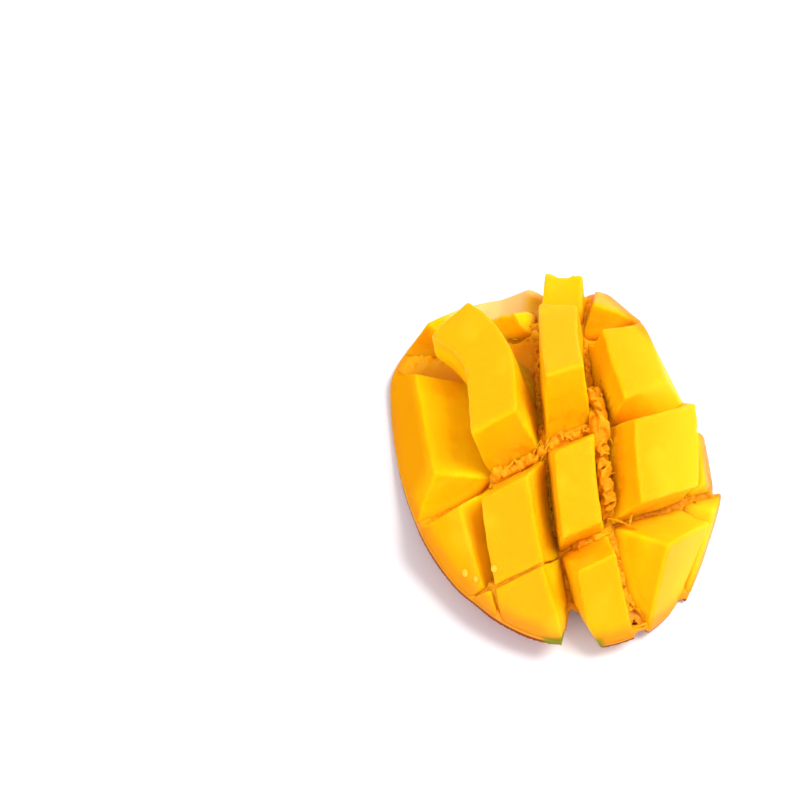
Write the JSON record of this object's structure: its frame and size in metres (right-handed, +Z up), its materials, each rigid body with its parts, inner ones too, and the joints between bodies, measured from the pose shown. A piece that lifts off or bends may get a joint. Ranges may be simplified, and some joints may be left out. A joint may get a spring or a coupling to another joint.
{
  "type": "cubed mango half",
  "caption": "Half of a mango, scored in a grid and turned inside out, so that its blocks of flesh stand apart on the arched skin.",
  "frame": {"origin": "under the middle of the half, on the surface that it lies on", "axes": "+Y along the half to its far end, +Z up, out of the flesh; the flesh side is up and the skin is underneath"},
  "size_m": [0.0982, 0.1196, 0.0464],
  "materials": {
    "flesh": null
  },
  "bodies": {
    "root": {"mango_half": "flesh"}
  },
  "joints": []
}
